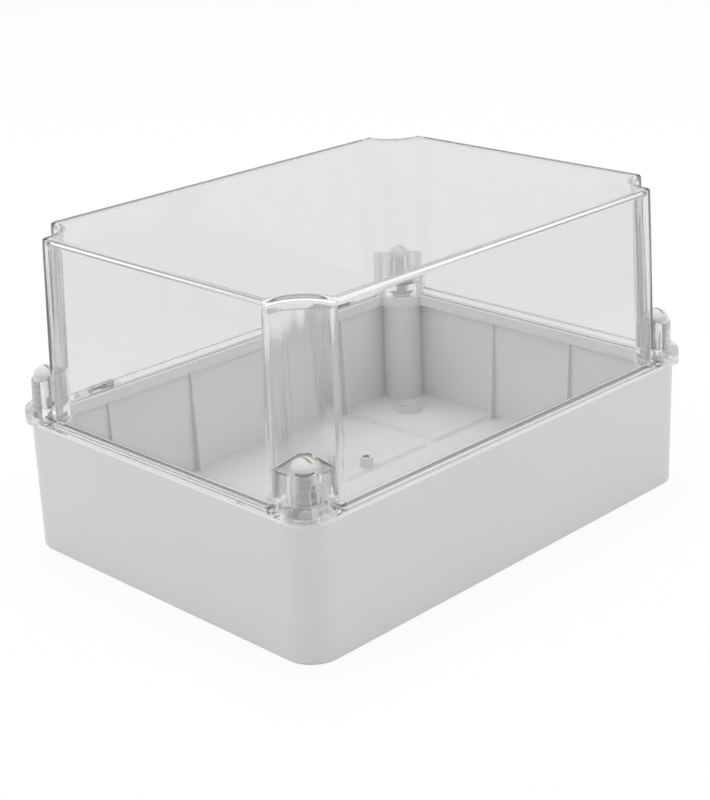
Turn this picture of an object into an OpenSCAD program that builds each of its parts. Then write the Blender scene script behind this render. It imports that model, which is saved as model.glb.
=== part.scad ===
// Hinged polycarbonate enclosure with a deep clear lid and four quarter-turn cover screws.
// Millimetres. Origin on the underside at the middle of the base; X along the long side, Z up.
// The lid swings up and back on two hinges on the rear long side (+Y).

/* [Case] */
// Outside length of the base
case_l = 306; // [250:1:400]
// Outside width of the base
case_w = 226; // [180:1:300]
// Height of the base up to its rim
base_h = 75.3; // [60:0.1:110]
// Overall height with the lid closed
case_h = 181; // [150:1:230]
// Radius of the base's vertical corners
corner_r = 17; // [15:0.5:19]
// Thickness of the base's walls
wall_t = 3; // [2.4:0.1:3.6]
// Thickness of the base's floor
floor_t = 3; // [2.6:0.1:5]
// Radius of the outer edge under the base
foot_edge_r = 1.6; // [0.8:0.1:2.2]
// Bevel of the rim's outer edge
rim_bevel = 1.2; // [0.4:0.1:1.4]

/* [Rim and seal] */
// Depth of the thick band under the rim
rim_band_h = 6.5; // [6:0.1:10]
// Lip between the seal's groove and the opening
rim_lip_t = 1.5; // [1:0.1:2.5]
// Width of the seal's groove
groove_w = 3.4; // [3:0.1:3.6]
// Radius at which the groove's outer side bends round a screw post
groove_bend_r = 8.4; // [8.2:0.1:8.8]
// Depth of the seal's groove
groove_d = 4.3; // [3.5:0.1:5]
// Side clearance between the seal and its groove
seal_side = 0.15; // [0.1:0.05:0.3]
// Height of the seal
seal_h = 3; // [2.2:0.1:3.2]
// Clearance between the closed lid and what it closes on
lid_gap = 0.3; // [0.2:0.05:0.5]
// Width of the lid's sealing tongue
tongue_w = 1.6; // [1.2:0.1:1.8]

/* [Lid] */
// Thickness of the lid's flange
flange_t = 3.6; // [3:0.1:5]
// Ledge outside the dome on the short sides
ledge_l = 4; // [3.4:0.1:5]
// Ledge outside the dome on the long sides
ledge_w = 2; // [1.8:0.1:4]
// Thickness of the dome's walls
dome_t = 2.6; // [2:0.1:3]
// Thickness of the dome's top
dome_top_t = 2.7; // [2:0.1:4]
// Lean of the dome's walls from the flange to the top
dome_lean = 3; // [1:0.1:5]
// Bevel of the dome's top edge
dome_bevel = 1.2; // [0.6:0.1:1.6]
// Radius of the hollow in each corner of the dome
scallop_r = 20; // [18.5:0.1:21]
// Offset of the hollow's centre from the dome's corner
scallop_in = 1.8; // [1.2:0.1:2.4]

/* [Screw towers] */
// Distance of each cover screw from both outer walls
screw_inset = 12; // [11.6:0.1:12.4]
// Side of the square that a tower fills in the corner
tower_w = 22; // [20:0.1:24]
// Inset of a tower's outer faces from the base's
tower_in = 0.4; // [0:0.1:0.6]
// Radius of a tower's outer corner
tower_corner_r = 19.5; // [17:0.1:21]
// Height of a tower's inner edge above the base's rim
tower_h = 27.9; // [26:0.1:34]
// Fall of a tower's sloped top from the inner edge to the corner
tower_slope = 4.4; // [2:0.1:5]
// Radius of the well in a tower
well_r = 7.8; // [7.4:0.1:8]
// Height of the well's floor above the base's rim
well_floor_h = 7.7; // [7:0.1:9]
// Radius of the round collar at a tower's foot
collar_r = 13.35; // [13:0.05:14]
// Height of the collar above the base's rim
collar_h = 8.8; // [7:0.1:11]
// Depth that the collar hangs below the base's rim
collar_drop = 1.4; // [0.8:0.1:2]
// Radius of the collar's upper edge
collar_edge_r = 3.6; // [2:0.1:4.5]
// Width of the arched window in the front towers
window_w = 7.8; // [7:0.1:9.6]
// Height of the window's top above the base's rim
window_top_h = 20.1; // [18:0.1:21]
// Thickness of the hood in front of the window
hood_t = 1.3; // [1:0.1:1.6]

/* [Cover screws] */
// Radius of the domed head
head_r = 6.5; // [6:0.1:6.9]
// Height of the domed head
head_h = 5.6; // [4:0.1:7]
// Height of the head's lower edge above the base's rim
head_z = 24.7; // [22:0.1:28]
// Radius of the neck between head and shoulder
neck_r = 3.7; // [3.2:0.1:4]
// Number of ribs round the neck
neck_rib_n = 3; // [2:1:4]
// Radius of the neck's ribs
neck_rib_r = 4.6; // [4.2:0.1:5.4]
// Thickness of the shoulder that holds the lid down
shoulder_t = 2; // [1.5:0.1:3]
// Radius of the shoulder
shoulder_r = 6.6; // [6:0.1:6.9]
// Radius of the shank below the shoulder
shank_r = 3.6; // [3.2:0.1:3.8]
// Clearance round the shank in the lid
shank_gap = 0.25; // [0.15:0.05:0.4]
// Depth of the screw's tip below the base's rim
tip_depth = 9.3; // [8:0.1:10]
// Radius of the tip
tip_r = 2.4; // [2:0.1:2.6]
// Reach of the two bayonet lugs on the tip
lug_r = 3.2; // [2.9:0.1:3.3]
// Width of the driver slot
slot_w = 1.8; // [1.2:0.1:2.4]
// Depth of the driver slot
slot_d = 2.2; // [1.5:0.1:3]
// Thickness of the seal under the shoulder
washer_t = 1.4; // [1:0.1:2]
// Thickness of the ring that keeps the screw in the lid
keeper_t = 1.8; // [1.2:0.1:2.4]
// Outer radius of the keeper ring
keeper_r = 6; // [5.4:0.1:6.4]
// Clearance round the keeper ring in the lid
keeper_gap = 0.3; // [0.3:0.05:0.5]

/* [Screw posts] */
// Radius of the posts in the base's corners
post_r = 12.2; // [11.8:0.1:12.4]
// Outer radius of the quarter-turn socket in a post
socket_r = 7; // [6.6:0.1:7.3]
// Length of the socket
socket_l = 16; // [13:0.1:22]
// Radius of the socket's bore
socket_bore_r = 4.8; // [4.7:0.05:5]
// Depth of the socket's top below the rim
socket_down = 1; // [0.6:0.1:1.6]

/* [Hinges] */
// Distance of each hinge from the end of the case
hinge_in = 58; // [52:1:90]
// Distance of the hinge axis outside the rear wall
hinge_out = 4.6; // [4.4:0.1:6]
// Distance of the hinge axis below the rim
hinge_down = 2.8; // [2.4:0.1:3.2]
// Radius of the knuckles
knuckle_r = 4; // [3.6:0.1:4]
// Width of the lid's knuckle
knuckle_w = 16; // [12:0.5:24]
// Width of each of the base's two lugs
lug_w = 6; // [4:0.5:10]
// Gap between knuckle and lugs
knuckle_gap = 0.4; // [0.3:0.05:0.6]
// Radius of the hinge pin
pin_r = 1.75; // [1.5:0.05:2]
// Clearance round the pin in the lid's knuckle
pin_gap = 0.08; // [0.05:0.01:0.15]

/* [Floor and wall ribs] */
// Thickness of the upright wall ribs
rib_t = 2; // [1.4:0.1:3]
// Depth of a wall rib at its top
rib_top = 1.2; // [0.8:0.1:2]
// Depth of a wall rib at the floor
rib_foot = 4.5; // [3:0.1:7]
// Spacing of the ribs on the long walls
rib_pitch_l = 62; // [50:1:66]
// Spacing of the ribs on the short walls
rib_pitch_w = 60.5; // [50:0.5:64]
// Height of the floor's raised fields
field_h = 2; // [0.8:0.1:2.4]
// Width of the channels between the raised fields
channel_w = 11; // [8:0.5:13]
// Distance of the long channels from the middle
channel_y = 26.5; // [24:0.5:30]
// Distance of the cross channels from the middle
channel_x = 89; // [84:0.5:96]

/* [Mounting] */
// Spacing of the wall fixings along the length
fix_l = 242; // [220:1:246]
// Spacing of the wall fixings along the width
fix_w = 156; // [140:1:158]
// Radius of the wall fixing holes
fix_r = 2.75; // [2:0.05:3.2]
// Outer radius of the boss round a fixing hole
fix_boss_r = 8; // [7:0.1:9]
// Height of the boss above the floor
fix_boss_h = 6; // [5:0.1:9]
// Radius of the plug that covers a fixing screw
plug_r = 5.6; // [5.2:0.1:6]
// Length of the plug in its boss
plug_l = 3; // [2:0.1:4]
// Spacing of the plate pillars along the length
pillar_l = 74; // [60:1:84]
// Spacing of the plate pillars along the width
pillar_w = 71; // [68:1:80]
// Outer radius of a plate pillar
pillar_r = 4.2; // [4:0.1:6]
// Height of a plate pillar above the floor
pillar_h = 8; // [7:0.1:14]
// Outer radius of the threaded insert in a pillar
insert_r = 2.8; // [2.5:0.1:3.4]
// Radius of the insert's M4 hole
insert_hole_r = 2; // [1.5:0.1:2]
// Length of the insert
insert_l = 6; // [4:0.1:6.5]

/* [Hidden] */
$fn = 72;
// Overlap of shapes that are joined into one solid
join = 0.6;
// Margin of a cutter past the face that it cuts
past = 1;

half_l = case_l / 2;
half_w = case_w / 2;
dome_l = half_l - ledge_l;
dome_w = half_w - ledge_w;
// Everything on the lid is measured from its underside, just above the rim
lid_z = base_h + lid_gap;
flange_z = lid_z + flange_t;
lean_rate = dome_lean / (case_h - flange_z);
groove_out = -0.2;
groove_in = groove_out - groove_w;
opening_in = groove_in - rim_lip_t;
seal_z = base_h - groove_d;
tongue_out = (groove_out + groove_in + tongue_w) / 2;
screw_x = half_l - screw_inset;
screw_y = half_w - screw_inset;
tower_z = base_h + tower_h;
well_z = base_h + well_floor_h;
collar_z = base_h - collar_drop;
window_z = base_h + window_top_h - window_w / 2;
keeper_z = lid_z + keeper_t;
hinge_x = half_l - hinge_in;
hinge_y = half_w + hinge_out;
hinge_z = base_h - hinge_down;
band_z = base_h - rim_band_h;
socket_z = base_h - socket_down;
pin_l = knuckle_w + 2 * knuckle_gap + 2 * lug_w;
CORNERS = [[-1, -1], [1, -1], [-1, 1], [1, 1]];

// Rectangle with round corners, centred
module rounded_rect(l, w, r) {
  square([l - 2 * r, w], center = true);
  square([l, w - 2 * r], center = true);
  for (c = CORNERS) translate([c[0] * (l / 2 - r), c[1] * (w / 2 - r)]) circle(r);
}

// Outline of the dome, moved outwards by grow: a rectangle with a round hollow in each corner
module dome_outline(grow) {
  difference() {
    square([2 * (dome_l + grow), 2 * (dome_w + grow)], center = true);
    for (c = CORNERS) translate([c[0] * (dome_l - scallop_in), c[1] * (dome_w - scallop_in)]) circle(scallop_r - grow);
  }
}

// Path of the seal, moved outwards by grow: along the walls and round the inside of each post
module seal_outline(grow) {
  r = groove_bend_r - grow + groove_out;
  difference() {
    square([2 * (dome_l + grow), 2 * (dome_w + grow)], center = true);
    for (c = CORNERS) scale2(c) translate([screw_x, screw_y]) {
      circle(r);
      translate([0, -r]) square([case_w, case_w]);
      translate([-r, 0]) square([case_w, case_w]);
    }
  }
}

// Mirrors its children into the quarter given by the signs in c
module scale2(c) {
  mirror([c[0] < 0 ? 1 : 0, 0, 0]) mirror([0, c[1] < 0 ? 1 : 0, 0]) children();
}

// Moves its children to one cover screw, with the outer corner towards +X and +Y
module at_screw(c) {
  scale2(c) translate([screw_x, screw_y, 0]) children();
}

// Block with leaning sides from z0 to z1, whose sides move from grow0 to grow1
module leaning_block(z0, z1, grow0, grow1) {
  translate([0, 0, z0])
    linear_extrude(z1 - z0, slices = 1, scale = [(dome_l + grow1) / (dome_l + grow0), (dome_w + grow1) / (dome_w + grow0)])
      square([2 * (dome_l + grow0), 2 * (dome_w + grow0)], center = true);
}

// Round hollow in each corner of the dome, leaning inwards with the walls
module corner_hollows(grow) {
  lean = atan(lean_rate * sqrt(2));
  for (c = CORNERS) scale2(c) translate([dome_l - scallop_in, dome_w - scallop_in, flange_z]) rotate(45)
    rotate([0, -lean, 0]) translate([0, 0, -tower_w]) cylinder(r = scallop_r - grow, h = case_h - flange_z + 2 * tower_w);
}

// Profile of what is cut from a square edge to round it; the edge is at [e, e]
module edge_profile(e, bevel) {
  difference() {
    square(e + past);
    if (bevel) polygon([[0, 0], [e, 0], [0, e]]); else circle(e);
  }
}

// Cutter that rounds or bevels the upper outer edge of a rounded rectangle, top face at z = 0
module edge_cutter(l, w, r, e, bevel = false) {
  translate([0, 0, -e]) {
    for (s = [0, 1]) mirror([0, s, 0])
      translate([-l / 2 + r, w / 2 - e, 0]) rotate([90, 0, 90]) linear_extrude(l - 2 * r) edge_profile(e, bevel);
    for (s = [0, 1]) mirror([s, 0, 0])
      translate([l / 2 - e, w / 2 - r, 0]) rotate([90, 0, 0]) linear_extrude(w - 2 * r) edge_profile(e, bevel);
    for (c = CORNERS) scale2(c) translate([l / 2 - r, w / 2 - r, 0])
      rotate_extrude(angle = 90) translate([r - e, 0]) edge_profile(e, bevel);
  }
}

// Wedge-shaped rib that stands on the floor and leans on a wall; the wall's face is at y = 0
module wall_rib() {
  rib_h = band_z - floor_t;
  translate([-rib_t / 2, join, floor_t - join]) rotate([90, 0, 90]) linear_extrude(rib_t)
    polygon([[0, 0], [-rib_foot - join, 0], [-rib_foot - join, join], [-rib_top - join, rib_h + join], [0, rib_h + join]]);
}

module wall_ribs() {
  for (s = [0, 1], i = [-1.5, -0.5, 0.5, 1.5]) mirror([0, s, 0])
    translate([i * rib_pitch_l, half_w - wall_t, 0]) wall_rib();
  for (s = [0, 1], i = [-0.5, 0.5]) mirror([s, 0, 0])
    translate([half_l - wall_t, i * rib_pitch_w, 0]) rotate(-90) wall_rib();
}

// Cutter for a floor channel along X, with sides that slope at 45 degrees
module channel(l) {
  foot = channel_w / 2 - field_h;
  top = channel_w / 2 + past;
  translate([-l / 2, 0, floor_t]) rotate([90, 0, 90]) linear_extrude(l)
    polygon([[-foot, 0], [foot, 0], [top, field_h + past], [-top, field_h + past]]);
}

// Raised fields of the floor, parted by channels
module floor_fields() {
  difference() {
    translate([0, 0, floor_t - join]) linear_extrude(field_h + join)
      rounded_rect(case_l - 2 * wall_t + join, case_w - 2 * wall_t + join, corner_r - wall_t);
    for (s = [-1, 1]) {
      translate([s * channel_x, 0, 0]) rotate(90) channel(case_w);
      translate([0, s * channel_y, 0]) channel(case_l);
    }
  }
}

// One of the base's hinge lugs, seen along X, with its gusset down the wall
module hinge_lug() {
  rotate([90, 0, 90]) linear_extrude(lug_w) {
    translate([hinge_y, hinge_z]) circle(knuckle_r);
    polygon([
      [half_w - join, hinge_z + knuckle_r / 4], [hinge_y, hinge_z + knuckle_r / 4],
      [hinge_y + knuckle_r * cos(40), hinge_z - knuckle_r * sin(40)],
      [half_w, hinge_z - 4 * knuckle_r], [half_w - join, hinge_z - 4 * knuckle_r]
    ]);
  }
}

module hinge_lugs() {
  for (s = [-1, 1], t = [0, 1]) translate([s * hinge_x, 0, 0]) mirror([t, 0, 0])
    translate([knuckle_w / 2 + knuckle_gap, 0, 0]) hinge_lug();
}

module base() {
  color("#c8c8c6") difference() {
    union() {
      difference() {
        linear_extrude(base_h) rounded_rect(case_l, case_w, corner_r);
        edge_cutter_base();
        translate([0, 0, floor_t]) linear_extrude(band_z - floor_t)
          rounded_rect(case_l - 2 * wall_t, case_w - 2 * wall_t, corner_r - wall_t);
        translate([0, 0, band_z - past]) linear_extrude(rim_band_h + 2 * past) seal_outline(opening_in);
      }
      intersection() {
        for (c = CORNERS) at_screw(c) translate([0, 0, floor_t - join]) cylinder(r = post_r, h = band_z - floor_t + 2 * join);
        linear_extrude(base_h) rounded_rect(case_l - join, case_w - join, corner_r);
      }
      wall_ribs();
      floor_fields();
      hinge_lugs();
      for (c = CORNERS) translate([c[0] * fix_l / 2, c[1] * fix_w / 2, floor_t - join])
        cylinder(r = fix_boss_r, h = fix_boss_h + join);
      for (c = CORNERS) translate([c[0] * pillar_l / 2, c[1] * pillar_w / 2, floor_t - join])
        cylinder(r = pillar_r, h = pillar_h + join);
    }
    // Groove for the rim's seal
    translate([0, 0, seal_z]) linear_extrude(groove_d + past) difference() {
      seal_outline(groove_out);
      seal_outline(groove_in);
    }
    // Seats of the quarter-turn sockets
    for (c = CORNERS) at_screw(c)
      translate([0, 0, socket_z - socket_l]) cylinder(r = socket_r, h = socket_l + socket_down + past);
    for (c = CORNERS) translate([c[0] * fix_l / 2, c[1] * fix_w / 2, 0]) {
      translate([0, 0, -past]) cylinder(r = fix_r, h = floor_t + fix_boss_h + 2 * past);
      translate([0, 0, floor_t]) cylinder(r = plug_r, h = fix_boss_h + past);
    }
    for (c = CORNERS) translate([c[0] * pillar_l / 2, c[1] * pillar_w / 2, floor_t + pillar_h - insert_l])
      cylinder(r = insert_r, h = insert_l + past);
    for (s = [-1, 1]) translate([s * hinge_x - pin_l / 2 - past, hinge_y, hinge_z])
      rotate([0, 90, 0]) cylinder(r = pin_r, h = pin_l + 2 * past);
  }
}

// Bevel along the rim and rounding under the floor
module edge_cutter_base() {
  translate([0, 0, base_h]) edge_cutter(case_l, case_w, corner_r, rim_bevel, bevel = true);
  mirror([0, 0, 1]) edge_cutter(case_l, case_w, corner_r, foot_edge_r);
}

// Outside of the dome: leaning walls, hollow corners and a bevelled top edge
module dome_body() {
  cutter = dome_bevel * sqrt(2);
  difference() {
    leaning_block(flange_z - join, case_h, lean_rate * join, -dome_lean);
    corner_hollows(0);
    for (s = [-1, 1]) {
      translate([0, s * (dome_w - dome_lean), case_h]) rotate([45, 0, 0]) cube([case_l, cutter, cutter], center = true);
      translate([s * (dome_l - dome_lean), 0, case_h]) rotate([0, 45, 0]) cube([cutter, case_w, cutter], center = true);
    }
  }
}

// Room inside the dome, open downwards
module dome_room() {
  roof_z = case_h - dome_top_t;
  foot_z = lid_z - join;
  difference() {
    leaning_block(foot_z, roof_z, lean_rate * (flange_z - foot_z) - dome_t, -dome_t - lean_rate * (roof_z - flange_z));
    corner_hollows(-dome_t);
  }
}

// Solid block that fills the hollow of one corner, for one screw tower
module tower_block(c) {
  translate([0, 0, lid_z]) linear_extrude(tower_z - lid_z) difference() {
    intersection() {
      rounded_rect(case_l - 2 * tower_in, case_w - 2 * tower_in, tower_corner_r);
      scale2(c) translate([half_l - tower_w, half_w - tower_w]) square(tower_w);
    }
    dome_outline(-dome_t / 2 - lean_rate * tower_h / 2);
  }
}

// What slopes a tower's top, from the hollow down to the outer corner
module tower_top_cut(c) {
  at_screw(c) rotate([0, 0, 45]) translate([-scallop_r / 2, -2 * tower_w, tower_z])
    rotate([0, atan(tower_slope / scallop_r), 0]) cube([3 * tower_w, 4 * tower_w, tower_w]);
}

// Round collar at a tower's foot, hanging just outside the base's rim
module collar() {
  edge = collar_edge_r;
  foot = collar_drop / 2;
  h = collar_h + collar_drop;
  rotate_extrude() union() {
    square([collar_r - edge, h]);
    translate([0, foot]) square([collar_r, h - edge - foot]);
    translate([collar_r - edge, h - edge]) circle(edge);
    square([collar_r - foot, foot]);
    translate([collar_r - foot, foot]) circle(foot);
  }
}

// Thin hood in front of a front tower's window: a flap, a slope outwards and a lip down
module hood() {
  flap_y = well_r + hood_t;
  lip_y = collar_r;
  slope_z = base_h + collar_h;
  lip_z = slope_z - (lip_y - flap_y);
  // The flap covers the half of the window on the side of the lid's middle
  translate([-window_w / 2 - join, 0, 0]) rotate([90, 0, 90]) linear_extrude(window_w / 2 + join)
    polygon([
      [flap_y - hood_t, slope_z], [flap_y, slope_z], [flap_y, window_z + window_w / 2 - join / 2],
      [flap_y - hood_t, window_z + window_w / 2 - join / 2]
    ]);
  translate([-window_w, 0, 0]) rotate([90, 0, 90]) linear_extrude(window_w + lip_y - flap_y)
    polygon([
      [flap_y - hood_t, slope_z], [flap_y, slope_z], [lip_y, lip_z], [lip_y, collar_z],
      [lip_y - hood_t / 2, collar_z], [lip_y - hood_t, lip_z - hood_t / 2], [flap_y - hood_t, slope_z - hood_t]
    ]);
}

// Arched window through the outer wall of a front tower, and the space behind the hood
module window_cut() {
  translate([0, well_r / 2, window_z]) rotate([-90, 0, 0]) cylinder(r = window_w / 2, h = collar_r);
  translate([-window_w / 2, well_r / 2, base_h + collar_h - join]) cube([window_w, collar_r, window_z - base_h - collar_h + join]);
}

module hood_room() {
  translate([-window_w + hood_t, well_r, base_h - collar_drop - past])
    cube([window_w + collar_r - well_r - 1.5 * hood_t, collar_r - well_r, collar_drop + collar_h + past - hood_t]);
}

// The lid's knuckle and the web that ties it to the flange
module lid_knuckle() {
  translate([-knuckle_w / 2, 0, 0]) rotate([90, 0, 90]) linear_extrude(knuckle_w) {
    translate([hinge_y, hinge_z]) circle(knuckle_r);
    polygon([
      [half_w - join, lid_z + join / 2], [half_w - join, flange_z], [half_w + hinge_out / 3, flange_z],
      [hinge_y + knuckle_r * cos(45), hinge_z + knuckle_r * sin(45)], [hinge_y, hinge_z],
      [hinge_y - knuckle_r * cos(35), hinge_z + knuckle_r * sin(35)]
    ]);
  }
}

// Tongue under the flange that presses on the seal
module tongue() {
  tongue_z = seal_z + seal_h + lid_gap;
  translate([0, 0, tongue_z]) linear_extrude(lid_z + join - tongue_z) difference() {
    seal_outline(tongue_out);
    seal_outline(tongue_out - tongue_w);
  }
}

module lid() {
  color("#e4e8ea", 0.35) difference() {
    union() {
      difference() {
        union() {
          difference() {
            translate([0, 0, lid_z]) linear_extrude(flange_t) rounded_rect(case_l, case_w, corner_r);
            translate([0, 0, flange_z]) edge_cutter(case_l, case_w, corner_r, rim_bevel / 2);
          }
          dome_body();
          for (c = CORNERS) {
            difference() {
              tower_block(c);
              tower_top_cut(c);
            }
            at_screw(c) translate([0, 0, collar_z]) collar();
          }
          for (s = [-1, 1]) translate([s * hinge_x, 0, 0]) lid_knuckle();
        }
        dome_room();
        // The collars stand clear of the base
        translate([0, 0, collar_z - past]) linear_extrude(lid_z - collar_z + past)
          rounded_rect(case_l + 2 * lid_gap, case_w + 2 * lid_gap, corner_r + lid_gap);
        for (c = CORNERS) at_screw(c) translate([0, 0, well_z]) cylinder(r = well_r, h = tower_z);
        for (c = [CORNERS[0], CORNERS[1]]) at_screw(c) {
          window_cut();
          hood_room();
        }
      }
      for (c = [CORNERS[0], CORNERS[1]]) at_screw(c) hood();
      tongue();
    }
    for (c = CORNERS) at_screw(c) {
      translate([0, 0, collar_z - past]) cylinder(r = shank_r + shank_gap, h = tower_z);
      translate([0, 0, collar_z - past]) cylinder(r = keeper_r + keeper_gap, h = keeper_z - collar_z + past);
    }
    for (s = [-1, 1]) translate([s * hinge_x - knuckle_w / 2 - past, hinge_y, hinge_z])
      rotate([0, 90, 0]) cylinder(r = pin_r + pin_gap, h = knuckle_w + 2 * past);
  }
}

// Soft seal in the rim's groove
module rim_seal() {
  color("#b4b4b2") translate([0, 0, seal_z]) linear_extrude(seal_h) difference() {
    seal_outline(groove_out - seal_side);
    seal_outline(groove_in + seal_side);
  }
}

// Profile of a cover screw from its tip to the foot of its head, as radius and height
module screw_profile() {
  top = base_h + head_z;
  foot = well_z + washer_t;
  neck_z = foot + shoulder_t;
  pitch = (top - neck_z) / (neck_rib_n + 1);
  translate([0, base_h - tip_depth]) square([tip_r, tip_depth + past]);
  translate([0, base_h]) square([shank_r, foot + join - base_h]);
  translate([0, foot]) square([shoulder_r, shoulder_t]);
  translate([0, foot]) square([neck_r, top - foot + join]);
  for (i = [1:neck_rib_n]) translate([0, neck_z + i * pitch - pitch / 4]) square([neck_rib_r, pitch / 2]);
}

// Profile of the domed head: a short upright side and a cap of a sphere
module head_profile() {
  side_h = 1;
  rim_r = head_r + 0.2;
  cap_h = head_h - side_h;
  ball_r = (pow(rim_r, 2) + pow(cap_h, 2)) / (2 * cap_h);
  translate([0, base_h + head_z]) intersection() {
    square([head_r, head_h]);
    translate([0, head_h - ball_r]) circle(ball_r);
  }
}

module cover_screw(c) {
  color("#dcdcda") translate([c[0] * screw_x, c[1] * screw_y, 0]) difference() {
    union() {
      rotate_extrude() screw_profile();
      rotate_extrude() head_profile();
      for (a = [0, 180]) rotate(a) translate([0, -lug_r / 4, base_h - tip_depth]) cube([lug_r, lug_r / 2, tip_depth / 4]);
    }
    translate([-slot_w / 2, -head_r - past, base_h + head_z + head_h - slot_d])
      cube([slot_w, 2 * (head_r + past), slot_d + past]);
  }
}

// Seal under a screw's shoulder
module washer(c) {
  color("#5a5a5a") translate([c[0] * screw_x, c[1] * screw_y, well_z]) difference() {
    cylinder(r = shoulder_r, h = washer_t);
    translate([0, 0, -past]) cylinder(r = shank_r, h = washer_t + 2 * past);
  }
}

// Ring that keeps a screw in the lid
module keeper(c) {
  color("#f0f0ee") translate([c[0] * screw_x, c[1] * screw_y, lid_z]) difference() {
    cylinder(r = keeper_r, h = keeper_t);
    translate([0, 0, -past]) cylinder(r = shank_r, h = keeper_t + 2 * past);
  }
}

// Quarter-turn socket in a post: closed below, with a bevelled mouth
module socket(c) {
  color("#b8b8b4") translate([c[0] * screw_x, c[1] * screw_y, socket_z - socket_l]) difference() {
    cylinder(r = socket_r, h = socket_l);
    translate([0, 0, 2]) cylinder(r = socket_bore_r, h = socket_l);
    translate([0, 0, socket_l - 1]) cylinder(r1 = socket_bore_r, r2 = socket_bore_r + 1, h = 1);
  }
}

module hinge_pin(s) {
  color("#a8a8aa") translate([s * hinge_x - pin_l / 2, hinge_y, hinge_z]) rotate([0, 90, 0]) cylinder(r = pin_r, h = pin_l);
}

// Plugs that cover the wall fixing screws
module fixing_plugs() {
  color("#bdbdba") for (c = CORNERS) translate([c[0] * fix_l / 2, c[1] * fix_w / 2, floor_t + fix_boss_h - plug_l]) {
    cylinder(r = plug_r, h = plug_l);
    translate([0, 0, plug_l]) cylinder(r = fix_boss_r - 1, h = 1);
  }
}

// Threaded inserts for a mounting plate or rail
module plate_inserts() {
  color("#b9babb") for (c = CORNERS) translate([c[0] * pillar_l / 2, c[1] * pillar_w / 2, floor_t + pillar_h - insert_l]) difference() {
    cylinder(r = insert_r, h = insert_l);
    translate([0, 0, -past]) cylinder(r = insert_hole_r, h = insert_l + 2 * past);
  }
}

base();
rim_seal();
cover_screw([-1, -1]);  // screw_front_left
cover_screw([1, -1]);  // screw_front_right
cover_screw([-1, 1]);  // screw_rear_left
cover_screw([1, 1]);  // screw_rear_right
washer([-1, -1]);  // washer_front_left
washer([1, -1]);  // washer_front_right
washer([-1, 1]);  // washer_rear_left
washer([1, 1]);  // washer_rear_right
keeper([-1, -1]);  // keeper_front_left
keeper([1, -1]);  // keeper_front_right
keeper([-1, 1]);  // keeper_rear_left
keeper([1, 1]);  // keeper_rear_right
socket([-1, -1]);  // socket_front_left
socket([1, -1]);  // socket_front_right
socket([-1, 1]);  // socket_rear_left
socket([1, 1]);  // socket_rear_right
hinge_pin(-1);  // hinge_pin_left
hinge_pin(1);  // hinge_pin_right
fixing_plugs();
plate_inserts();
lid();
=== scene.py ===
from math import atan2, cos, pi, radians, sin, sqrt, tau

import bmesh
import bpy
from mathutils import Matrix, Vector


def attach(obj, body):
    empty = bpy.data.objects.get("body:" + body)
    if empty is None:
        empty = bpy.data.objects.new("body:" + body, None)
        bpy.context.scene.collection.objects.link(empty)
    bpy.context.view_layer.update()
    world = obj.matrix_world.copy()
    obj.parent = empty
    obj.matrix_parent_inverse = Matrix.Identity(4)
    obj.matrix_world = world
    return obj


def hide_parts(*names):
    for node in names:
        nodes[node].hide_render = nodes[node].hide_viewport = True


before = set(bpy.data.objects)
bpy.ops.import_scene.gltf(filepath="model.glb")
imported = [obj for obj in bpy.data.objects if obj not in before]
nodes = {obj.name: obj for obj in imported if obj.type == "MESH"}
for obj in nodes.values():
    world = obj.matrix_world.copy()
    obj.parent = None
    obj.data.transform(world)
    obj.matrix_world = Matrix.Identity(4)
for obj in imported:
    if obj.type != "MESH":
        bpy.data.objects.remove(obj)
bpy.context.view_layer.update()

# ---------------------------------------------------------------------------
# Base. A deep box injection-moulded in light grey plastic, with ribbed walls,
# a floor in raised fields, a post in each corner and a grooved rim.
# Its outside has the fine, even grain of a spark-eroded mould.
# ---------------------------------------------------------------------------


class Sock:
    """A shader socket that adds Math nodes when it is used in an expression."""

    def __init__(self, graph, link):
        self.graph = graph
        self.link = link

    def math(self, operation, other=0.0):
        return self.graph.add("ShaderNodeMath", {"operation": operation}, {0: self, 1: other})

    def __add__(self, other):
        return self.math("ADD", other)

    def __sub__(self, other):
        return self.math("SUBTRACT", other)

    def __mul__(self, other):
        return self.math("MULTIPLY", other)

    def __rsub__(self, other):
        return self.graph.add("ShaderNodeMath", {"operation": "SUBTRACT"}, {0: other, 1: self})

    __radd__ = __add__
    __rmul__ = __mul__

    def climb(self, low, high):
        """0 up to low, 1 from high on, and an even slope between them."""
        values = {0: self, 1: low, 2: high, 3: 0.0, 4: 1.0}
        return self.graph.add("ShaderNodeMapRange", None, values)

    def part(self, index):
        """One of a vector's three numbers: 0 for x, 1 for y, 2 for z."""
        return self.graph.add("ShaderNodeSeparateXYZ", None, {0: self}, out=index)


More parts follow.
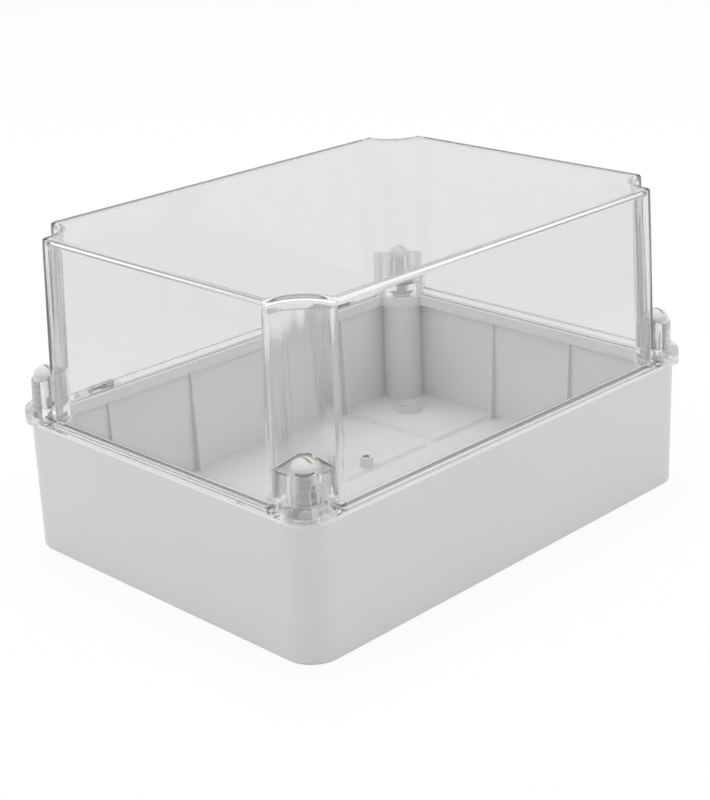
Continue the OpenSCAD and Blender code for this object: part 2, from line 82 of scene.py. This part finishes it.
class Graph:
    """The node tree of one material or of the world, cleared at the start."""

    def __init__(self, owner):
        owner.use_nodes = True
        self.tree = owner.node_tree
        self.tree.nodes.clear()

    def add(self, kind, settings=None, values=None, out=0):
        node = self.tree.nodes.new(kind)
        for key, value in (settings or {}).items():
            if key == "stops":
                ramp = node.color_ramp
                while len(ramp.elements) < len(value):
                    ramp.elements.new(0.5)
                for stop, (place, shade) in zip(ramp.elements, value):
                    stop.position = place
                    stop.color = (*shade, 1.0)
            else:
                setattr(node, key, value)
        for key, value in (values or {}).items():
            if isinstance(value, Sock):
                self.tree.links.new(value.link, node.inputs[key])
            else:
                node.inputs[key].default_value = value
        return Sock(self, node.outputs[out]) if len(node.outputs) else None

    def blend(self, share, first, second):
        """A colour between two colours."""
        values = {0: share, 6: first, 7: second}
        return self.add("ShaderNodeMix", {"data_type": "RGBA"}, values, out=2)

    def layered(self, share, first, second):
        """A shader between two shaders."""
        return self.add("ShaderNodeMixShader", None, {0: share, 1: first, 2: second})

    def finish(self, shader, kind="ShaderNodeOutputMaterial"):
        self.add(kind, None, {"Surface": shader})


CLOUDS_PER_M = 9.0
GRAIN_RELIEF = 0.0001
GRAIN_GLOSS = 0.12
PLASTIC_IOR = 1.49
DARK_FADE = 0.0004


def lighter(shade, share):
    """The shade made lighter by a share of itself, or darker where the share is negative."""
    return (*[min(value * (1 + share), 1) for value in shade], 1)


def moulded_plastic(name, shade, roughness, grain_mm, grain_depth, mottle=0.03, painted_shade=None):
    """Opaque moulded plastic: a fine grain in the gloss and the relief, and a faint mottle.

    The optional second shade is painted shade, standing in for shadow on part of the piece, with
    the two heights in metres between which it is painted.
    """
    material = bpy.data.materials.new(name)
    graph = Graph(material)
    place = graph.add("ShaderNodeTexCoord", out=3)
    noise = {"Vector": place, "Scale": 1000 / grain_mm, "Detail": 2.0}
    grain = graph.add("ShaderNodeTexNoise", None, noise)
    noise = {"Vector": place, "Scale": CLOUDS_PER_M, "Detail": 3.0}
    cloud = graph.add("ShaderNodeTexNoise", None, noise)
    tone = graph.blend(cloud, lighter(shade, -mottle), lighter(shade, mottle))
    if painted_shade:
        painted_shade_colour, low, high = painted_shade
        height = place.part(2)
        # Painted shade: the second shade is painted in a band between the two heights, standing in
        # for shadow.
        band = height.climb(low - DARK_FADE, low) - height.climb(high - DARK_FADE, high)
        tone = graph.blend(band, tone, (*painted_shade_colour, 1))
    relief = graph.add(
        "ShaderNodeBump", None, {"Height": grain, "Strength": grain_depth, "Distance": GRAIN_RELIEF}
    )
    body = {
        "Base Color": tone,
        "Roughness": roughness + (grain - 0.5) * GRAIN_GLOSS,
        "IOR": PLASTIC_IOR,
        "Normal": relief,
    }
    graph.finish(graph.add("ShaderNodeBsdfPrincipled", None, body))
    return material


def dress(node, material):
    """Gives a CAD node its finish through its own material slot."""
    nodes[node].material_slots[0].material = material


dress("base", moulded_plastic("base_grey_plastic", (0.69, 0.688, 0.678), 0.46, 0.5, 0.25))

# ---------------------------------------------------------------------------
# Seal, sockets, plugs, inserts and hinge pins. Small bought-in or moulded parts
# that are pressed into the base: a foam rubber cord round the rim, a socket in
# each post, plugs over the wall screws, steel inserts and steel pins.
# ---------------------------------------------------------------------------
POSTS = ("front_left", "front_right", "rear_left", "rear_right")
LATHE_RINGS_PER_M = 1800.0
LATHE_GLOSS = 0.12

dress("rim_seal", moulded_plastic("seal_foam_rubber", (0.50, 0.50, 0.49), 0.85, 0.4, 0.6, 0.1))
socket_material = moulded_plastic("socket_grey_plastic", (0.42, 0.42, 0.40), 0.42, 0.6, 0.2)
for post in POSTS:
    dress("socket_" + post, socket_material)
dress("fixing_plugs", moulded_plastic("plug_grey_plastic", (0.54, 0.54, 0.53), 0.4, 0.6, 0.2))


def turned_metal(name, shade, roughness):
    """Turned metal with the faint rings of the lathe tool in its gloss."""
    material = bpy.data.materials.new(name)
    graph = Graph(material)
    place = graph.add("ShaderNodeTexCoord", out=3)
    noise = {"Vector": place, "Scale": LATHE_RINGS_PER_M, "Detail": 1.0}
    rings = graph.add("ShaderNodeTexNoise", None, noise)
    body = {
        "Base Color": (*shade, 1),
        "Metallic": 1.0,
        "Roughness": roughness + rings * LATHE_GLOSS,
    }
    graph.finish(graph.add("ShaderNodeBsdfPrincipled", None, body))
    return material


dress("plate_inserts", turned_metal("insert_steel", (0.9, 0.9, 0.9), 0.42))
for side in ("left", "right"):
    dress("hinge_pin_" + side, turned_metal("pin_steel_" + side, (0.62, 0.62, 0.63), 0.24))

# ---------------------------------------------------------------------------
# Lid. A deep dome moulded in clear polycarbonate, with a flange that closes on
# the rim, a hollow in each corner for the screw tower, and a hinge knuckle on
# each side at the back. Every edge is rounded, and shows as a bright line.
# ---------------------------------------------------------------------------
# Lengths are in mm. CASE_L, CASE_W and all that goes with them run from the middle outwards.
MM = 0.001
CASE_L, CASE_W, CASE_H = 153.0, 113.0, 181.0
CORNER_R = 17.0
LID_Z, FLANGE_Z = 75.6, 79.2
DOME_L, DOME_W = 149.0, 111.0
DOME_T, ROOF_T = 2.6, 2.7
LEAN = 3.0 / (CASE_H - FLANGE_Z)
HOLLOW_R, HOLLOW_IN = 20.0, 1.8
HOLLOW_EDGE_R, LEAST_EDGE_R = 2.6, 0.9
SCREW_X, SCREW_Y = 141.0, 101.0
CORNERS = ((-1, -1), (1, -1), (1, 1), (-1, 1))
EDGE_STEPS = 5


def arc(cx, cy, r, start, end, steps):
    """Points on an arc, from one angle to another."""
    turns = [start + (end - start) * i / steps for i in range(steps + 1)]
    return [(cx + r * cos(turn), cy + r * sin(turn)) for turn in turns]


def four_corners(quarter):
    """A closed outline from its points in the quarter where x and y are positive."""
    there = list(quarter)
    back = there[::-1]
    return (
        there
        + [(-x, y) for x, y in back]
        + [(-x, -y) for x, y in there]
        + [(x, -y) for x, y in back]
    )


def round_outline(half_l, half_w, r):
    """Rectangle with round corners."""
    return four_corners(arc(half_l - r, half_w - r, r, 0, pi / 2, 12))


def dome_outline(grow, lean):
    """Dome's outline at one height: hollow corners whose ends are rounded off."""
    half_l, half_w = DOME_L + grow - lean, DOME_W + grow - lean
    cx, cy = DOME_L - HOLLOW_IN - lean, DOME_W - HOLLOW_IN - lean
    r = HOLLOW_R - grow
    edge_r = max(HOLLOW_EDGE_R + grow, LEAST_EDGE_R)
    x1 = half_l - edge_r
    y1 = cy - sqrt((r + edge_r) ** 2 - (x1 - cx) ** 2)
    y2 = half_w - edge_r
    x2 = cx - sqrt((r + edge_r) ** 2 - (y2 - cy) ** 2)
    turn1 = atan2(cy - y1, cx - x1)
    turn2 = atan2(cy - y2, cx - x2)
    first = arc(x1, y1, edge_r, 0, turn1, 6)
    hollow = arc(cx, cy, r, turn1 + pi, turn2 + pi, 20)
    last = arc(x2, y2, edge_r, turn2, pi / 2, 6)
    return four_corners(first + hollow[1:-1] + last)


def made(name, mesh):
    """An object in the scene from a finished bmesh."""
    bmesh.ops.recalc_face_normals(mesh, faces=mesh.faces)
    data = bpy.data.meshes.new(name)
    mesh.to_mesh(data)
    mesh.free()
    thing = bpy.data.objects.new(name, data)
    bpy.context.scene.collection.objects.link(thing)
    return thing


def lofted(name, rings):
    """Closed mesh through rings that have the same number of (x, y, z) points."""
    mesh = bmesh.new()
    rings = [[mesh.verts.new((x * MM, y * MM, z * MM)) for x, y, z in ring] for ring in rings]
    count = len(rings[0])
    for low, high in zip(rings, rings[1:]):
        for i in range(count):
            j = (i + 1) % count
            mesh.faces.new((low[i], low[j], high[j], high[i]))
    mesh.faces.new(rings[0][::-1])
    mesh.faces.new(rings[-1])
    return made(name, mesh)


def solid(name, levels):
    """Solid through outlines at rising heights, as (outline, height) pairs."""
    return lofted(name, [[(x, y, z) for x, y in outline] for outline, z in levels])


def turned(name, profile, at, steps=96):
    """Solid turned about an upright axis at (x, y), from (radius, height) points up one side."""
    cx, cy = at
    turns = [tau * i / steps for i in range(steps)]
    levels = [([(cx + r * cos(t), cy + r * sin(t)) for t in turns], z) for r, z in profile]
    return solid(name, levels)


def along_x(name, profile, x0, x1):
    """Solid whose outline, as (y, z) points, runs along X."""
    return lofted(name, [[(x, y, z) for y, z in profile] for x in (x0, x1)])


def join(target, tool, operation):
    """Cuts the tool from the target, or adds it, and removes the tool."""
    step = target.modifiers.new("step", "BOOLEAN")
    step.operation = operation
    step.object = tool
    step.solver = "MANIFOLD"
    worked = target.evaluated_get(bpy.context.evaluated_depsgraph_get())
    shape = bpy.data.meshes.new_from_object(worked)
    target.modifiers.clear()
    spent, target.data = target.data, shape
    bpy.data.meshes.remove(spent)
    bpy.data.objects.remove(tool)


def dome_levels(wall, low, high):
    """Straight part of the dome's outside, or of the room at a wall's thickness inside it."""
    return [(dome_outline(-wall, LEAN * (z - FLANGE_Z)), z) for z in (low, high)]


def roof_edge(wall, top, r):
    """Levels that round the edge of the dome's roof, or of the room inside it."""
    levels = []
    for i in range(EDGE_STEPS + 1):
        t = pi / 2 * i / EDGE_STEPS
        z = top - r + r * sin(t)
        levels.append((dome_outline(-r * (1 - cos(t)) - wall, LEAN * (z - FLANGE_Z)), z))
    return levels


# Flange, with its lower and upper edges rounded
UNDER_EDGE_R, FLANGE_EDGE_R = 0.3, 0.45
levels = []
for z, way, r in ((LID_Z, 1, UNDER_EDGE_R), (FLANGE_Z, -1, FLANGE_EDGE_R)):
    edge = []
    for i in range(4):
        t = pi / 2 * i / 3
        inset = r * (1 - sin(t))
        outline = round_outline(CASE_L - inset, CASE_W - inset, CORNER_R - inset)
        edge.append((outline, z + way * r * (1 - cos(t))))
    levels += edge if way > 0 else edge[::-1]
lid = solid("lid_shell", levels)

# Outside of the dome, with a fillet at its foot
FOOT_R, FOOT_SINK = 1.3, 0.3
WALL_TOP = CASE_H - 2.5
levels = []
for i in range(5):
    t = pi / 2 * i / 4
    z = FLANGE_Z - FOOT_SINK + FOOT_R * (1 - cos(t))
    levels.append((dome_outline(FOOT_R * (1 - sin(t)), LEAN * (z - FLANGE_Z)), z))
levels += dome_levels(0, FLANGE_Z + FOOT_R, WALL_TOP)
levels += roof_edge(0, CASE_H, 1.9)
join(lid, solid("dome", levels), "UNION")

# Screw towers, whose outer faces are flush with the base, with a sloping top
TOWER_W, TOWER_Z, TOWER_CORNER_R = 22.0, 103.2, 19.5
TOWER_SLOPE, TOWER_LEAN = 4.4, 0.03
TOWER_EDGE, TOWER_SINK = 1.0, 0.6


def tower_outline(z):
    """Square tower with a round outer corner, in the quarter where x and y are positive."""
    x0, y0 = CASE_L - TOWER_W, CASE_W - TOWER_W
    inset = TOWER_LEAN * max(z - FLANGE_Z, 0)
    r = TOWER_CORNER_R
    outer = arc(CASE_L - inset - r, CASE_W - inset - r, r, 0, pi / 2, 16)
    return [(x0, y0), (CASE_L - inset, y0)] + outer + [(x0, CASE_W - inset)]


def mirrored(outline, sx, sy):
    """The outline in another quarter, still drawn the same way round."""
    flipped = [(x * sx, y * sy) for x, y in outline]
    return flipped if sx * sy > 0 else flipped[::-1]


for sx, sy in CORNERS:
    heights = (FLANGE_Z - TOWER_SINK, FLANGE_Z, TOWER_Z + 1)
    tower = solid("tower", [(mirrored(tower_outline(z), sx, sy), z) for z in heights])
    mesh = bmesh.new()
    mesh.from_mesh(tower.data)
    outwards = Vector((sx, sy, 0)).normalized()
    start = Vector((SCREW_X * sx, SCREW_Y * sy, TOWER_Z)) - outwards * HOLLOW_R / 2
    cut = bmesh.ops.bisect_plane(
        mesh,
        geom=mesh.verts[:] + mesh.edges[:] + mesh.faces[:],
        plane_co=start * MM,
        plane_no=(outwards * TOWER_SLOPE / HOLLOW_R + Vector((0, 0, 1))).normalized(),
        clear_outer=True,
    )
    rim = [e for e in cut["geom_cut"] if isinstance(e, bmesh.types.BMEdge)]
    bmesh.ops.holes_fill(mesh, edges=rim)
    bmesh.ops.bevel(
        mesh, geom=rim, offset=TOWER_EDGE * MM, segments=3, profile=0.5, affect="EDGES"
    )
    bmesh.ops.recalc_face_normals(mesh, faces=mesh.faces)
    mesh.to_mesh(tower.data)
    mesh.free()
    join(lid, tower, "UNION")

# Round collar at the foot of each tower
COLLAR_R, COLLAR_Z0, COLLAR_Z1, COLLAR_EDGE = 13.34, 73.9, 84.1, 3.6
for sx, sy in CORNERS:
    profile = [(COLLAR_R - 0.7, COLLAR_Z0), (COLLAR_R - 0.2, COLLAR_Z0 + 0.2)]
    profile.append((COLLAR_R, COLLAR_Z0 + 0.7))
    for i in range(9):
        t = pi / 2 * i / 8
        inset, drop = COLLAR_EDGE * (1 - cos(t)), COLLAR_EDGE * (1 - sin(t))
        profile.append((COLLAR_R - inset, COLLAR_Z1 - drop))
    join(lid, turned("collar", profile, (SCREW_X * sx, SCREW_Y * sy)), "UNION")

# The collars stand clear of the base, which takes the space below the flange
BASE_CLEAR = 0.3
BELOW_LID_Z = 70
wide = round_outline(CASE_L + BASE_CLEAR, CASE_W + BASE_CLEAR, CORNER_R + BASE_CLEAR)
join(lid, solid("base_space", [(wide, BELOW_LID_Z), (wide, LID_Z)]), "DIFFERENCE")

# Room inside the dome, with round edges of its own
MOUTH_EDGE = 0.3
mouth = dome_outline(-DOME_T - MOUTH_EDGE, 0)
levels = [(mouth, BELOW_LID_Z), (mouth, LID_Z), (dome_outline(-DOME_T, 0), LID_Z + MOUTH_EDGE)]
levels += dome_levels(DOME_T, FLANGE_Z + 1, CASE_H - ROOF_T - 2.2)
levels += roof_edge(DOME_T, CASE_H - ROOF_T, 1.6)
join(lid, solid("room", levels), "DIFFERENCE")

# Tongue that presses on the seal: along the walls, and round the inside of each post
GROOVE_BEND_R, GROOVE_OUT = 8.4, -0.2
TONGUE_OUT, TONGUE_IN, TONGUE_Z = -1.1, -2.7, 74.3


def seal_outline(grow):
    """Path of the seal, moved outwards by grow."""
    r = GROOVE_BEND_R - grow + GROOVE_OUT
    bend = arc(SCREW_X, SCREW_Y, r, -pi / 2, -pi, 16)
    return four_corners([(DOME_L + grow, SCREW_Y - r)] + bend + [(SCREW_X - r, DOME_W + grow)])


tongue = solid("tongue", [(seal_outline(TONGUE_OUT), z) for z in (TONGUE_Z, LID_Z + 0.4)])
core = solid("tongue_core", [(seal_outline(TONGUE_IN), z) for z in (BELOW_LID_Z, 80)])
join(tongue, core, "DIFFERENCE")
join(lid, tongue, "UNION")

# Wells for the screws, with a hole for the shank and a pocket for the ring below
WELL_R, WELL_Z, ABOVE_WELL_Z = 7.8, 83.0, 120
SHANK_HOLE_R, POCKET_R, POCKET_Z = 3.85, 6.3, 77.4
for sx, sy in CORNERS:
    profile = [(POCKET_R, BELOW_LID_Z), (POCKET_R, POCKET_Z), (SHANK_HOLE_R, POCKET_Z)]
    profile += [(SHANK_HOLE_R, WELL_Z), (WELL_R - 0.8, WELL_Z), (WELL_R - 0.2, WELL_Z + 0.3)]
    profile += [(WELL_R, WELL_Z + 0.8), (WELL_R, ABOVE_WELL_Z)]
    join(lid, turned("well", profile, (SCREW_X * sx, SCREW_Y * sy), 64), "DIFFERENCE")

# Arched window in each front tower, and the thin hood in front of it
WINDOW_R, WINDOW_TOP, WINDOW_SINK = 3.9, 95.4, 0.6
HOOD_T, HOOD_Z, HOOD_ROOM_Z = 1.3, 84.1, 72.0
HOOD_ROOM_SIDE = 4.1
FLAP_Y = WELL_R + HOOD_T
for sx in (-1, 1):
    cx, cy = SCREW_X * sx, -SCREW_Y
    outline = [(cx - WINDOW_R, HOOD_Z - WINDOW_SINK), (cx + WINDOW_R, HOOD_Z - WINDOW_SINK)]
    outline += arc(cx, WINDOW_TOP - WINDOW_R, WINDOW_R, 0, pi, 20)
    reach = (cy - COLLAR_R - 1, cy - WELL_R / 2)
    join(lid, lofted("window", [[(x, y, z) for x, z in outline] for y in reach]), "DIFFERENCE")

    flap_front, flap_back = cy - FLAP_Y, cy - FLAP_Y + HOOD_T
    under = HOOD_Z - HOOD_T
    far = flap_back - (COLLAR_R - WELL_R)
    room = [(flap_back, HOOD_ROOM_Z), (flap_back, under), (far, under), (far, HOOD_ROOM_Z)]
    ends = sorted((cx - sx * (2 * WINDOW_R - HOOD_T), cx + sx * HOOD_ROOM_SIDE))
    join(lid, along_x("hood_room", room, *ends), "DIFFERENCE")

    low, high = HOOD_Z - 0.2, WINDOW_TOP - 0.3
    flap = [(flap_back, low), (flap_front, low), (flap_front, high), (flap_back, high)]
    ends = sorted((cx - sx * (WINDOW_R + 0.6), cx))
    join(lid, along_x("flap", flap, *ends), "UNION")

    lip_front = cy - COLLAR_R
    lip_z = HOOD_Z - (COLLAR_R - FLAP_Y)
    lip = [
        (flap_back, HOOD_Z),
        (flap_front, HOOD_Z),
        (lip_front, lip_z),
        (lip_front, COLLAR_Z0),
        (lip_front + HOOD_T / 2, COLLAR_Z0),
        (lip_front + HOOD_T, lip_z - HOOD_T / 2),
        (flap_back, under),
    ]
    ends = sorted((cx - sx * 2 * WINDOW_R, cx + sx * (COLLAR_R - FLAP_Y)))
    join(lid, along_x("lip", lip, *ends), "UNION")

# Hinge knuckles on the back, with the pin's hole
HINGE_X, HINGE_Y, HINGE_Z = 95.0, 117.6, 72.5
KNUCKLE_R, KNUCKLE_W, PIN_HOLE_R = 4.0, 16.0, 1.83
for sx in (-1, 1):
    ends = (HINGE_X * sx - KNUCKLE_W / 2, HINGE_X * sx + KNUCKLE_W / 2)
    knuckle = arc(HINGE_Y, HINGE_Z, KNUCKLE_R, radians(-215), radians(45), 30)
    knuckle += [(CASE_W + 1.5, FLANGE_Z - 0.1), (CASE_W - 1, FLANGE_Z - 0.1)]
    knuckle.append((CASE_W - 1, LID_Z + 0.3))
    join(lid, along_x("knuckle", knuckle, *ends), "UNION")
    hole = arc(HINGE_Y, HINGE_Z, PIN_HOLE_R, 0, tau * 31 / 32, 31)
    join(lid, along_x("pin_hole", hole, ends[0] - 1, ends[1] + 1), "DIFFERENCE")

# Soft shading on rounded faces, hard at real edges
lid.data.shade_smooth()
lid.data.set_sharp_from_angle(angle=radians(30))
even = lid.modifiers.new("even", "WEIGHTED_NORMAL")
even.weight = 100
even.keep_sharp = True

# Polished, but satin and a little hazy in the towers, more so on their sloping tops, and with
# upright drawn streaks in the hollow corners. The lamps shine straight through to what lies
# inside, and light that stays caught in the plastic is let out, a little dimmed.
POLYCARBONATE_IOR = 1.585
TOWER_FADE, TOWER_MARGIN = 2.0, 1.0
HOLLOW_REACH, HOLLOW_FADE, HOLLOW_TOP = 9.0, 3.0, CASE_H - 4
STREAKS_PER_M, STREAK_STRETCH, STREAK_DEPTH, STREAK_GLOSS = 110.0, 0.03, 0.9, 0.09
SLOPE_HAZE, SLOPE_FOOT, SLOPE_FACING = 0.35, 94.0, (0.75, 0.95)
MOST_TURNS = 2.5


def clear_polycarbonate(name, tint, satin, haze):
    """Clear plastic; satin is the towers' roughness and haze is how much light they scatter."""
    material = bpy.data.materials.new(name)
    graph = Graph(material)
    place = graph.add("ShaderNodeTexCoord", out=3)
    x, y, z = place.part(0), place.part(1), place.part(2)
    past_x = x.math("ABSOLUTE") - (CASE_L - TOWER_W + TOWER_MARGIN) * MM
    past_y = y.math("ABSOLUTE") - (CASE_W - TOWER_W + TOWER_MARGIN) * MM
    past = past_x.math("MINIMUM", past_y)
    below_top = (TOWER_Z + TOWER_MARGIN) * MM - z
    tower = past.math("MINIMUM", below_top).climb(0.0, TOWER_FADE * MM)
    facing_up = graph.add("ShaderNodeTexCoord", out=1).part(2).climb(*SLOPE_FACING)
    slope = facing_up * z.math("GREATER_THAN", SLOPE_FOOT * MM)
    below_roof = HOLLOW_TOP * MM - z
    in_hollow = (past + HOLLOW_REACH * MM).math("MINIMUM", below_roof)
    hollow = in_hollow.climb(0.0, HOLLOW_FADE * MM)
    drawn = graph.add("ShaderNodeCombineXYZ", None, {0: x, 1: y, 2: z * STREAK_STRETCH})
    noise = {"Vector": drawn, "Scale": STREAKS_PER_M, "Detail": 1.5}
    streaks = graph.add("ShaderNodeTexNoise", None, noise)
    relief = {"Height": streaks * hollow, "Strength": 1.0, "Distance": STREAK_DEPTH * MM}
    body = {
        "Base Color": (*tint, 1),
        "Roughness": tower * satin + hollow * STREAK_GLOSS,
        "IOR": POLYCARBONATE_IOR,
        "Transmission Weight": 1.0,
        "Normal": graph.add("ShaderNodeBump", None, relief),
    }
    plastic = graph.add("ShaderNodeBsdfPrincipled", None, body)
    milk = graph.add("ShaderNodeBsdfTranslucent", None, {"Color": (0.97, 0.97, 0.97, 1)})
    hazy = graph.layered(tower * (slope * SLOPE_HAZE + haze), plastic, milk)
    clear = graph.add("ShaderNodeBsdfTransparent", None, {"Color": (1, 1, 1, 1)})
    lamp_ray = graph.add("ShaderNodeLightPath", out="Is Shadow Ray")
    soft_ray = graph.add("ShaderNodeLightPath", out="Is Diffuse Ray")
    seen = graph.layered(lamp_ray + soft_ray, hazy, clear)
    turns = graph.add("ShaderNodeLightPath", out="Glossy Depth")
    let_out = graph.add("ShaderNodeBsdfTransparent", None, {"Color": (0.6, 0.6, 0.6, 1)})
    graph.finish(graph.layered(turns.math("GREATER_THAN", MOST_TURNS), seen, let_out))
    return material


lid.data.materials.clear()
lid.data.materials.append(
    clear_polycarbonate("clear_polycarbonate", (0.85, 0.852, 0.85), satin=0.07, haze=0.2)
)
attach(lid, "lid")
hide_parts("lid")

# ---------------------------------------------------------------------------
# Cover screws. Light grey plastic, with a domed head, a driver slot, a ribbed
# neck painted darker as shade for the shadow inside its well, and a shoulder that
# presses on a rubber washer; a white ring under the lid keeps each one in its tower.
# ---------------------------------------------------------------------------
# Painted shade on the ribbed neck, for the shadow inside the well, between two heights in metres
NECK_PAINTED_SHADE = (0.39, 0.39, 0.39)
NECK_Z0, NECK_Z1 = 0.0845, 0.1
screw_material = moulded_plastic(
    "screw_grey_plastic", (0.62, 0.62, 0.605), 0.34, 0.8, 0.12, painted_shade=(NECK_PAINTED_SHADE, NECK_Z0, NECK_Z1)
)
washer_material = moulded_plastic("washer_grey_rubber", (0.22, 0.22, 0.22), 0.6, 0.5, 0.3)
keeper_material = moulded_plastic("keeper_white_plastic", (0.74, 0.74, 0.72), 0.4, 0.6, 0.15)
for post in POSTS:
    dress("screw_" + post, screw_material)
    dress("washer_" + post, washer_material)
    dress("keeper_" + post, keeper_material)

# ---------------------------------------------------------------------------
# Studio. A pale floor, a white surround and three soft lamps. Clear plastic
# mirrors the surround in bands, with a dark one at middle height so that its
# edges show, and a plain grey card stands where the lid's roof mirrors it.
# ---------------------------------------------------------------------------
FLOOR_HALF = 8.0
FLOOR_GLOW = 0.86
floor_mesh = bmesh.new()
floor_corners = [(x * FLOOR_HALF, y * FLOOR_HALF, 0) for x, y in CORNERS]
floor_mesh.faces.new([floor_mesh.verts.new(corner) for corner in floor_corners])
floor = made("floor", floor_mesh)
floor_material = bpy.data.materials.new("pale_floor")
graph = Graph(floor_material)
seen = graph.add("ShaderNodeLightPath", out="Is Camera Ray")
glossy = graph.add("ShaderNodeLightPath", out="Is Glossy Ray")
through = graph.add("ShaderNodeLightPath", out="Is Transmission Ray")
matt = {"Base Color": (0.6, 0.6, 0.6, 1), "Roughness": 0.8}
paper = graph.add("ShaderNodeBsdfPrincipled", None, matt)
glow = graph.add("ShaderNodeEmission", None, {"Color": (1, 1, 1, 1), "Strength": 1.04})
graph.finish(graph.layered((seen + glossy + through) * FLOOR_GLOW, paper, glow))
floor.data.materials.append(floor_material)

# Brightness of the bands by height, from the horizon at 0 to straight up at 1
ROOM_SHADES = (
    (0.0, 0.5),
    (0.22, 0.5),
    (0.3, 0.95),
    (0.4, 0.95),
    (0.47, 0.2),
    (0.65, 0.2),
    (0.73, 1.0),
    (1.0, 1.0),
)
# The grey card begins where x and y of the direction add up to this, and fades in over a little
CARD_EDGE = (1.15, 1.25)
world = bpy.data.worlds.new("surround")
bpy.context.scene.world = world
graph = Graph(world)
seen = graph.add("ShaderNodeLightPath", out="Is Camera Ray")
glossy = graph.add("ShaderNodeLightPath", out="Is Glossy Ray")
through = graph.add("ShaderNodeLightPath", out="Is Transmission Ray")
direction = graph.add("ShaderNodeTexCoord", out=0)
stops = [(place, (shade, shade, shade)) for place, shade in ROOM_SHADES]
room = graph.add("ShaderNodeValToRGB", {"stops": stops}, {0: direction.part(2)})
bands = graph.add("ShaderNodeBackground", None, {"Color": room, "Strength": 1.9})
card = graph.add("ShaderNodeBackground", None, {"Color": (0.86, 0.86, 0.86, 1), "Strength": 1.0})
behind = (direction.part(0) + direction.part(1)).climb(*CARD_EDGE)
mirrored_room = graph.layered(behind, bands, card)
soft = graph.add("ShaderNodeBackground", None, {"Color": (1, 1, 1, 1), "Strength": 0.69})
white = graph.add("ShaderNodeBackground", None, {"Color": (1, 1, 1, 1), "Strength": 1.0})
lit = graph.layered(glossy + through, soft, mirrored_room)
graph.finish(graph.layered(seen, lit, white), "ShaderNodeOutputWorld")


def soft_lamp(name, place, size, power):
    """Square soft box that points at the middle of the enclosure."""
    light = bpy.data.lights.new(name, "AREA")
    light.shape = "SQUARE"
    light.size = size
    light.energy = power
    lamp = bpy.data.objects.new(name, light)
    bpy.context.scene.collection.objects.link(lamp)
    lamp.location = place
    towards = Vector((0, 0, 0.08)) - lamp.location
    lamp.rotation_euler = towards.to_track_quat("-Z", "Y").to_euler()
    lamp.visible_camera = False
    lamp.visible_glossy = False
    lamp.visible_transmission = False


soft_lamp("lamp_overhead", (0.3, 0.5, 2.2), 1.6, 22)
soft_lamp("lamp_left", (-2.0, 1.0, 1.2), 1.4, 13)
soft_lamp("lamp_front", (1.0, -2.0, 1.2), 1.4, 13)

camera_data = bpy.data.cameras.new("camera")
camera_data.lens = 79.54
camera_data.clip_end = 50
camera = bpy.data.objects.new("camera", camera_data)
bpy.context.scene.collection.objects.link(camera)
YAW, PITCH, ROLL = 0.784025, 0.369631, -0.038902
camera.matrix_world = (
    Matrix.Translation((-0.661532, -0.658495, 0.428864))
    @ Matrix.Rotation(-YAW, 4, "Z")
    @ Matrix.Rotation(pi / 2 - PITCH, 4, "X")
    @ Matrix.Rotation(ROLL, 4, "Z")
)
bpy.context.scene.camera = camera
bpy.context.scene.view_settings.view_transform = "Standard"
